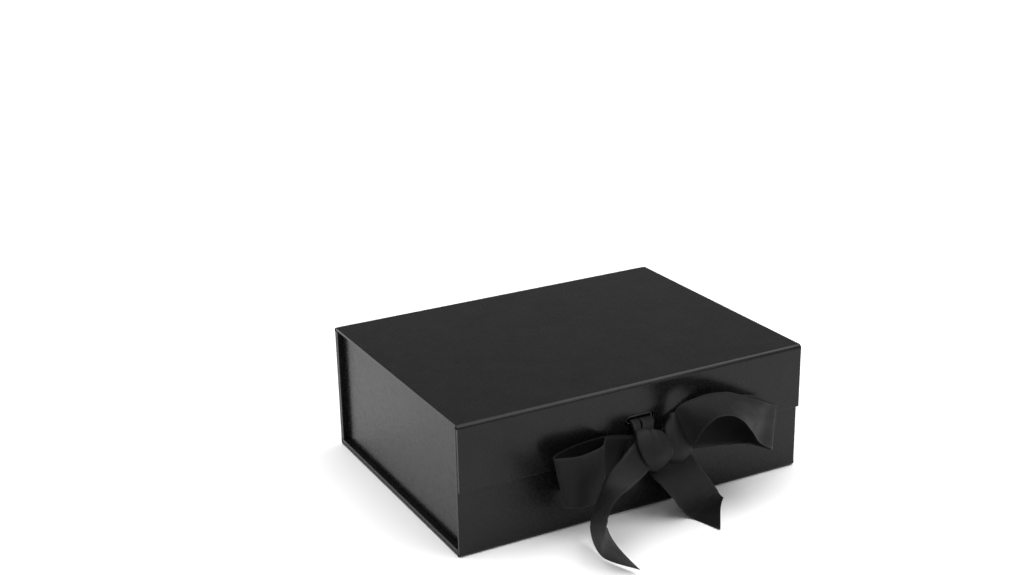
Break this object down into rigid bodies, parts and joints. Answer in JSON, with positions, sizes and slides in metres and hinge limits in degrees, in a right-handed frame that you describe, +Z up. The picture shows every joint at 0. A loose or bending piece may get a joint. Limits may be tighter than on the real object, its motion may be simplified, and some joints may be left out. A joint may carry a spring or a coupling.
{
  "type": "jewelry gift box",
  "caption": "Folding magnetic gift box of paper-wrapped board, with a hinged lid and front flap and a ribbon bow tied through a slot in the flap.",
  "frame": {"origin": "middle of the base panel's footprint, on the surface that the box stands on", "axes": "+X along the width towards the right end seen from the front, +Y from the front wall back to the spine, +Z up"},
  "size_m": [0.268, 0.2731, 0.094],
  "materials": {
    "cover_paper": "soft-touch matt black laminated paper",
    "liner_paper": "matt black uncoated paper",
    "greyboard": "pressed grey recycled board",
    "ribbon": "black satin ribbon with a fine cross rib",
    "eyelet_metal": "bright black nickel",
    "magnet": "nickel plate",
    "tape": "double-sided tape"
  },
  "bodies": {
    "box": {"base_board": "greyboard", "base_cover_paper": "cover_paper", "base_liner": "liner_paper", "floor_board": "greyboard", "floor_paper": "liner_paper", "back_board": "greyboard", "back_paper": "liner_paper", "front_wall_board": "greyboard", "front_wall_cover_paper": "cover_paper", "front_wall_liner": "liner_paper", "front_wall_magnet_left": "magnet", "front_wall_magnet_right": "magnet", "spine_board": "greyboard", "spine_cover_paper": "cover_paper", "spine_liner": "liner_paper", "left_side_board": "greyboard", "left_side_paper": "cover_paper", "left_side_tapes": "tape", "right_side_board": "greyboard", "right_side_paper": "cover_paper", "right_side_tapes": "tape"},
    "lid": {"lid_board": "greyboard", "lid_cover_paper": "cover_paper", "lid_liner": "liner_paper", "rear_fold_paper": "cover_paper", "front_fold_paper": "cover_paper"},
    "flap": {"flap_board": "greyboard", "flap_cover_paper": "cover_paper", "flap_liner": "liner_paper", "flap_magnet_left": "magnet", "flap_magnet_right": "magnet", "slot_eyelet": "eyelet_metal", "slot_washer": "eyelet_metal", "ribbon_anchor": "ribbon", "slot_strand_left": "ribbon", "slot_strand_right": "ribbon", "bow_knot": "ribbon", "left_loop_back": "ribbon", "left_loop_front": "ribbon", "right_loop_back": "ribbon", "right_loop_front": "ribbon", "left_tail": "ribbon", "right_tail": "ribbon"}
  },
  "joints": [
    {"name": "lid_hinge", "type": "hinge", "parent": "box", "child": "lid", "pos_m": [0, 0.09912, 0.09312], "axis": [-1, 0, 0], "range_deg": [0, 180], "deforming": ["rear_fold_paper"]},
    {"name": "flap_hinge", "type": "hinge", "parent": "lid", "child": "flap", "pos_m": [0, -0.10192, 0.09312], "axis": [-1, 0, 0], "range_deg": [0, 90], "deforming": ["front_fold_paper"]}
  ]
}
